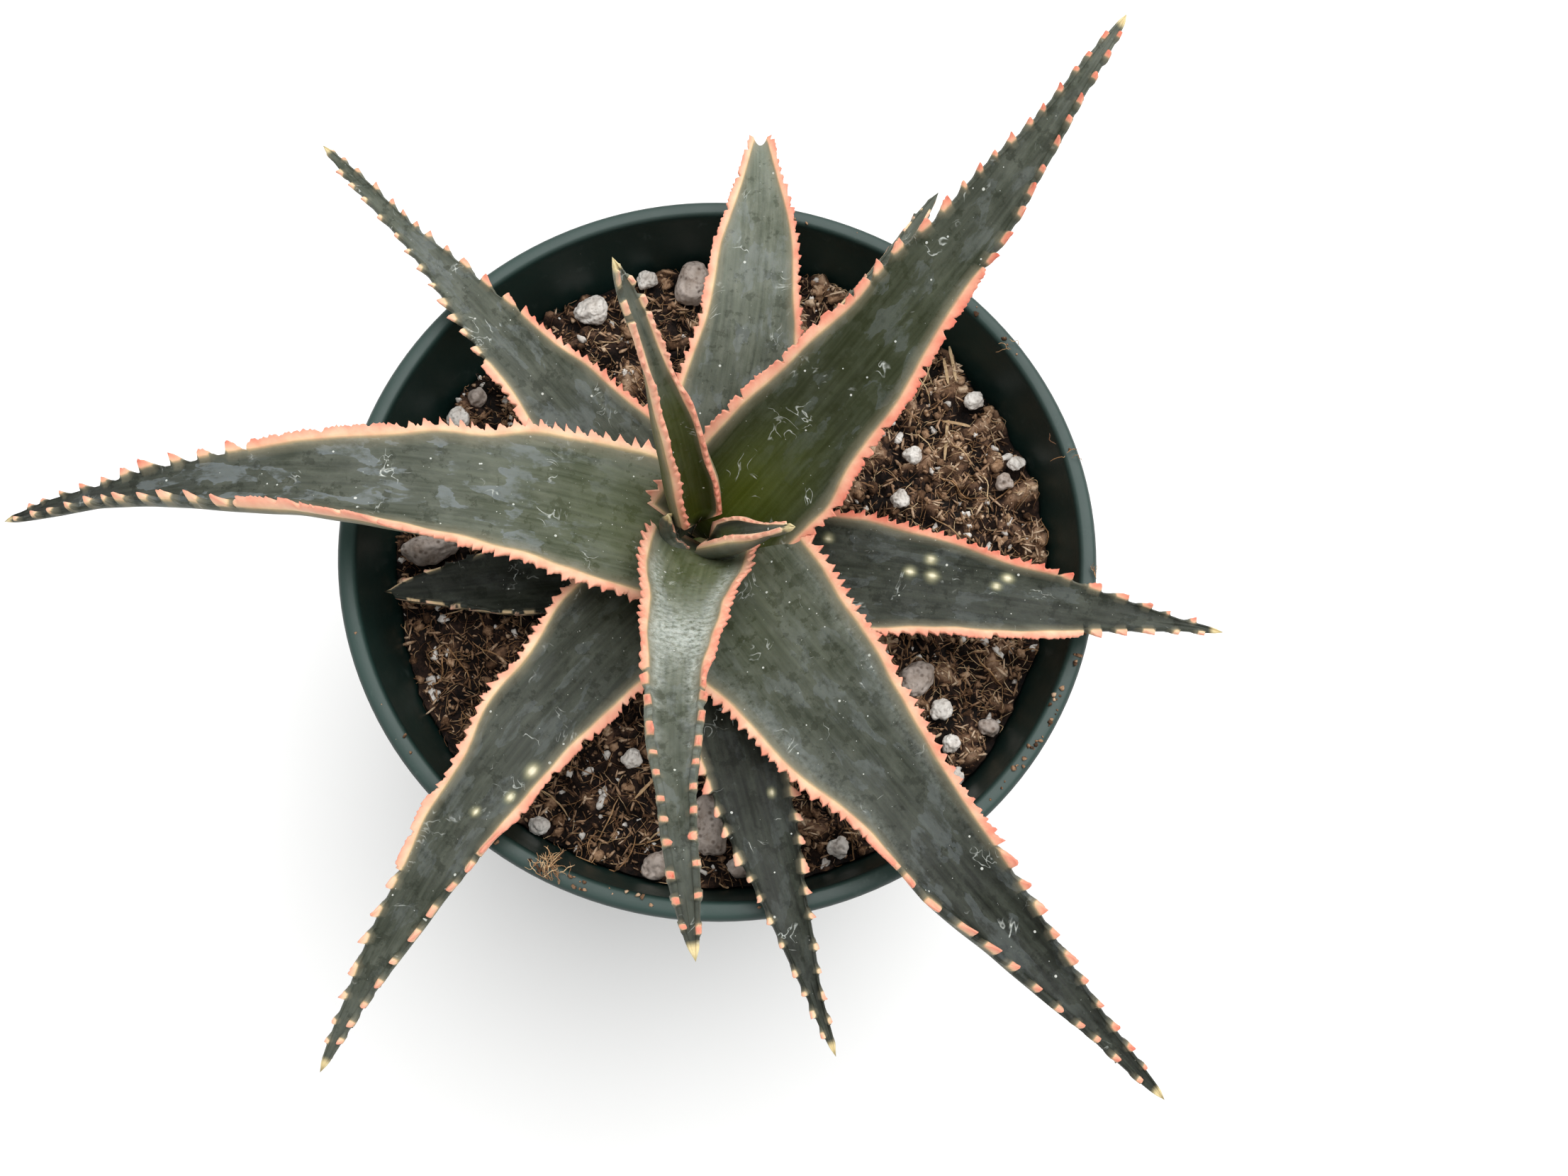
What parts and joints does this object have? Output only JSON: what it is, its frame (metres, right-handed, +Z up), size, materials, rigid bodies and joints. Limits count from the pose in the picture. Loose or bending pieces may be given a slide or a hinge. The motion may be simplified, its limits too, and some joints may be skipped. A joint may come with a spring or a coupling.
{
  "type": "potted aloe plant",
  "caption": "Young aloe rosette with pink toothed leaf margins, growing in gritty potting soil in a round dark green plastic nursery pot.",
  "frame": {"origin": "centre of the pot's flat underside, on the pot's axis", "axes": "+Z up along the pot's axis; +X to the right and +Y to the back of the plant as it is looked down on from its front"},
  "size_m": [0.2311, 0.1849, 0.1769],
  "materials": {
    "pot_plastic": "dark green injection-moulded polypropylene with a satin sheen",
    "potting_soil": "damp dark brown peat with tan fibres and small white grit",
    "stem_flesh": "smooth pale green flesh",
    "leaf_skin": "waxy grey-green skin with salmon pink toothed margins",
    "pumice_stone": "rough tan-grey porous stone",
    "perlite_stone": "matt white expanded grit"
  },
  "bodies": {
    "root": {"pot": "pot_plastic", "soil": "potting_soil", "stem": "stem_flesh", "leaf_01": "leaf_skin", "leaf_02": "leaf_skin", "leaf_03": "leaf_skin", "leaf_04": "leaf_skin", "leaf_05": "leaf_skin", "leaf_06": "leaf_skin", "leaf_07": "leaf_skin", "leaf_08": "leaf_skin", "leaf_09": "leaf_skin", "leaf_10": "leaf_skin", "leaf_11": "leaf_skin", "leaf_12": "leaf_skin", "leaf_13": "leaf_skin", "pumice_01": "pumice_stone", "pumice_02": "pumice_stone", "pumice_03": "pumice_stone", "pumice_04": "pumice_stone", "pumice_05": "pumice_stone", "pumice_06": "pumice_stone", "pumice_07": "pumice_stone", "pumice_08": "pumice_stone", "pumice_09": "pumice_stone", "pumice_10": "pumice_stone", "perlite_01": "perlite_stone", "perlite_02": "perlite_stone", "perlite_03": "perlite_stone", "perlite_04": "perlite_stone", "perlite_05": "perlite_stone", "perlite_06": "perlite_stone", "perlite_07": "perlite_stone", "perlite_08": "perlite_stone", "perlite_09": "perlite_stone", "perlite_10": "perlite_stone", "perlite_11": "perlite_stone", "perlite_12": "perlite_stone", "perlite_13": "perlite_stone"}
  },
  "joints": []
}
